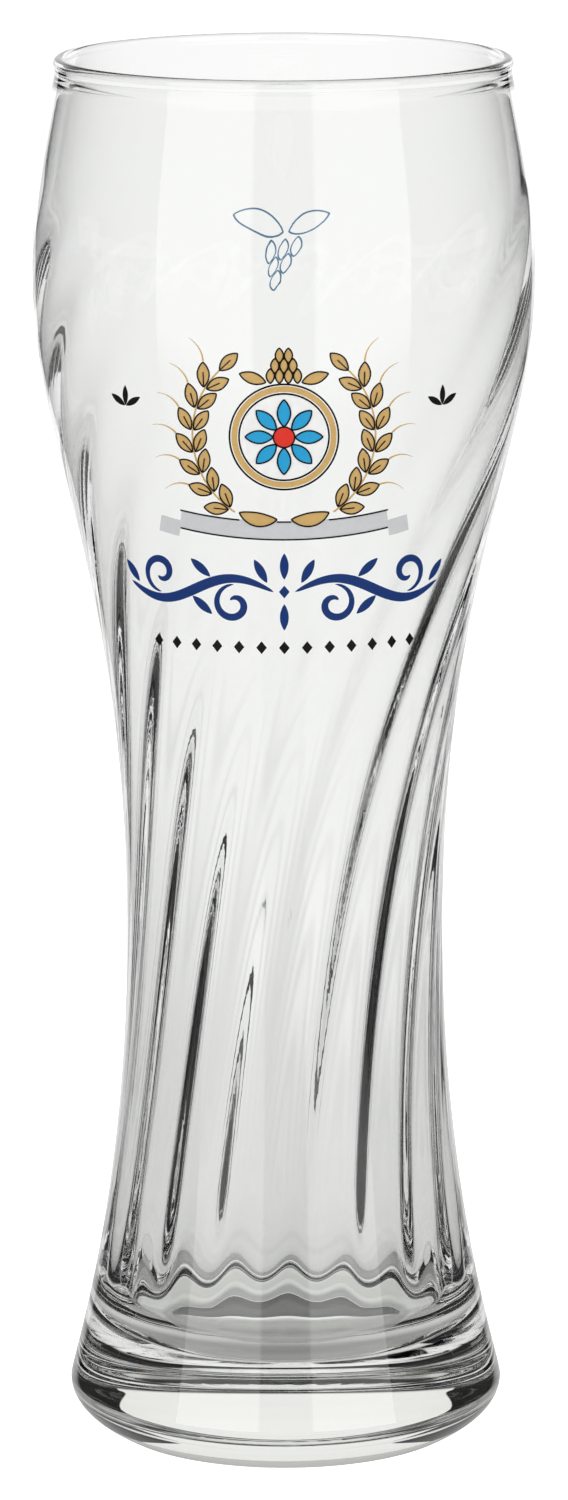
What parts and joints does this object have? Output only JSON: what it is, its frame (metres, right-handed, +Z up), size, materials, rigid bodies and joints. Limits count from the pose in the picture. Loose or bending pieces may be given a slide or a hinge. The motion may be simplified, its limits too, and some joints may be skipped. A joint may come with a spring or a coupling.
{
  "type": "wheat beer glass",
  "caption": "Tall waisted wheat-beer glass with a heavy rounded foot, swirled ribs inside the wall, a rounded lip and a fired colour print on the bowl.",
  "frame": {"origin": "middle of the foot, on the table", "axes": "+Z up along the glass's axis, the main print faces -Y, the small print on the far side faces +Y"},
  "size_m": [0.0858, 0.0859, 0.24],
  "materials": {
    "clear_glass": "clear fire-polished soda-lime glass",
    "white_enamel": "fired gloss enamel print",
    "gold_enamel": "fired satin gold enamel print",
    "sky_blue_enamel": "fired gloss enamel print",
    "red_enamel": "fired gloss enamel print",
    "silver_grey_enamel": "fired satin grey enamel print",
    "navy_enamel": "fired gloss enamel print",
    "black_enamel": "fired gloss enamel print",
    "pale_blue_enamel": "fired thin line print"
  },
  "bodies": {
    "root": {"glass_body": "clear_glass", "print_white": "white_enamel", "print_gold": "gold_enamel", "print_blue": "sky_blue_enamel", "print_red": "red_enamel", "print_grey": "silver_grey_enamel", "print_navy": "navy_enamel", "print_black": "black_enamel", "rear_print": "pale_blue_enamel"}
  },
  "joints": []
}
